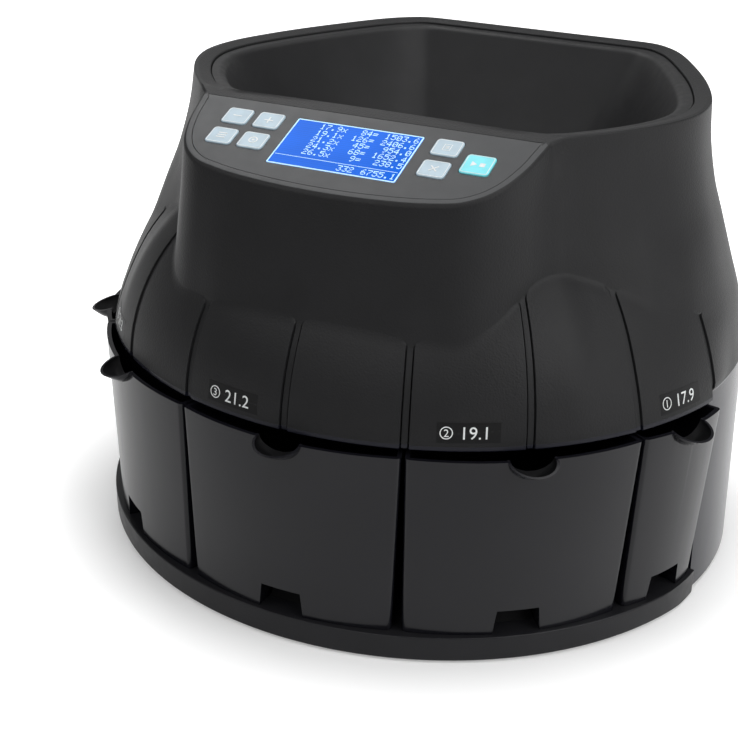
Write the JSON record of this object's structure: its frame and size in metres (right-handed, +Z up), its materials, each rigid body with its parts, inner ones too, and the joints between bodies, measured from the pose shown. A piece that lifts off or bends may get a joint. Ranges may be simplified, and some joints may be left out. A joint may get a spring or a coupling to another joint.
{
  "type": "coin sorting machine",
  "caption": "Round countertop coin sorter with a hopper, a sloping control panel, a grooved dome, a feed disc over a graded plate and slide-out cups with finger scoops.",
  "frame": {"origin": "on the surface the machine stands on, under the middle of its bounding box; the upright axis of its round parts is 9.5 mm further back", "axes": "+Z up, -Y to the front, where the control panel and the middle cup are, +X to the right seen from the front"},
  "size_m": [0.384, 0.3974, 0.266],
  "materials": {
    "casing_black": "matte, fine grain",
    "base_black": "satin",
    "cup_gloss": "smooth gloss",
    "sensor_black": "matte",
    "panel_satin": "satin film",
    "display_blue": "lit blue display",
    "dark_plastic": "satin",
    "socket_gloss": "smooth gloss",
    "key_grey": "smooth silicone",
    "key_blue": "smooth silicone",
    "rubber": "matte",
    "zinc": "turned",
    "steel": "satin",
    "brass": "machined",
    "board": "solder resist"
  },
  "bodies": {
    "machine": {"top_casing": "casing_black", "hopper_bowl": "casing_black", "base_tray": "base_black", "core_housing": "base_black", "rear_panel": "base_black", "coin_sensor_1": "sensor_black", "coin_sensor_2": "sensor_black", "coin_sensor_3": "sensor_black", "coin_sensor_4": "sensor_black", "coin_sensor_5": "sensor_black", "control_panel": "panel_satin", "display_window": "display_blue", "display_module": "dark_plastic", "power_inlet": "socket_gloss", "switch_housing": "socket_gloss", "foot_1": "rubber", "foot_2": "rubber", "foot_3": "rubber", "foot_4": "rubber", "sorting_plate": "zinc", "motor": "steel", "motor_plate": "steel", "power_supply": "steel", "printer_port": "steel", "upper_bearing": "brass", "lower_bearing": "brass", "main_board": "board", "key_board_left": "board", "key_board_right": "board"},
    "cup_1": {"coin_cup_1": "cup_gloss"},
    "cup_2": {"coin_cup_2": "cup_gloss"},
    "cup_3": {"coin_cup_3": "cup_gloss"},
    "cup_4": {"coin_cup_4": "cup_gloss"},
    "cup_5": {"coin_cup_5": "cup_gloss"},
    "disc": {"feed_disc": "zinc", "disc_knob": "dark_plastic", "disc_shaft": "steel", "drive_gear": "dark_plastic"},
    "pinion": {"motor_pinion": "brass"},
    "minus_key": {"key_minus": "key_grey"},
    "plus_key": {"key_plus": "key_grey"},
    "batch_key": {"key_batch": "key_grey"},
    "set_key": {"key_set": "key_grey"},
    "print_key": {"key_print": "key_grey"},
    "clear_key": {"key_clear": "key_grey"},
    "start_key": {"key_start": "key_blue"},
    "rocker": {"switch_rocker": "dark_plastic"}
  },
  "joints": [
    {"name": "cup_1_slide", "type": "slide", "parent": "machine", "child": "cup_1", "axis": [0.9171, -0.3987, 0], "range_m": [0, 0.112]},
    {"name": "cup_2_slide", "type": "slide", "parent": "machine", "child": "cup_2", "axis": [0.6157, -0.788, 0], "range_m": [0, 0.112]},
    {"name": "cup_3_slide", "type": "slide", "parent": "machine", "child": "cup_3", "axis": [0, -1, 0], "range_m": [0, 0.112]},
    {"name": "cup_4_slide", "type": "slide", "parent": "machine", "child": "cup_4", "axis": [-0.6157, -0.788, 0], "range_m": [0, 0.112]},
    {"name": "cup_5_slide", "type": "slide", "parent": "machine", "child": "cup_5", "axis": [-0.9171, -0.3987, 0], "range_m": [0, 0.112]},
    {"name": "disc_turn", "type": "hinge", "parent": "machine", "child": "disc", "pos_m": [0, 0.0095, 0.1385], "axis": [0, 0, 1], "continuous": true},
    {"name": "pinion_turn", "type": "hinge", "parent": "machine", "child": "pinion", "pos_m": [0, 0.0578, 0.117], "axis": [0, 0, 1], "continuous": true},
    {"name": "minus_press", "type": "slide", "parent": "machine", "child": "minus_key", "axis": [0, 0.3722, -0.9282], "range_m": [0, 0.0008], "stiffness_N_per_m": 400},
    {"name": "plus_press", "type": "slide", "parent": "machine", "child": "plus_key", "axis": [0, 0.3722, -0.9282], "range_m": [0, 0.0008], "stiffness_N_per_m": 400},
    {"name": "batch_press", "type": "slide", "parent": "machine", "child": "batch_key", "axis": [0, 0.3722, -0.9282], "range_m": [0, 0.0008], "stiffness_N_per_m": 400},
    {"name": "set_press", "type": "slide", "parent": "machine", "child": "set_key", "axis": [0, 0.3722, -0.9282], "range_m": [0, 0.0008], "stiffness_N_per_m": 400},
    {"name": "print_press", "type": "slide", "parent": "machine", "child": "print_key", "axis": [0, 0.3722, -0.9282], "range_m": [0, 0.0008], "stiffness_N_per_m": 400},
    {"name": "clear_press", "type": "slide", "parent": "machine", "child": "clear_key", "axis": [0, 0.3722, -0.9282], "range_m": [0, 0.0008], "stiffness_N_per_m": 400},
    {"name": "start_press", "type": "slide", "parent": "machine", "child": "start_key", "axis": [0, 0.3722, -0.9282], "range_m": [0, 0.0008], "stiffness_N_per_m": 400},
    {"name": "rocker_tilt", "type": "hinge", "parent": "machine", "child": "rocker", "pos_m": [0.003, 0.1808, 0.048], "axis": [1, 0, 0], "range_deg": [0, 16]}
  ],
  "couplings": [
    {"joint": "pinion_turn", "follows": "disc_turn", "ratio": -3}
  ]
}
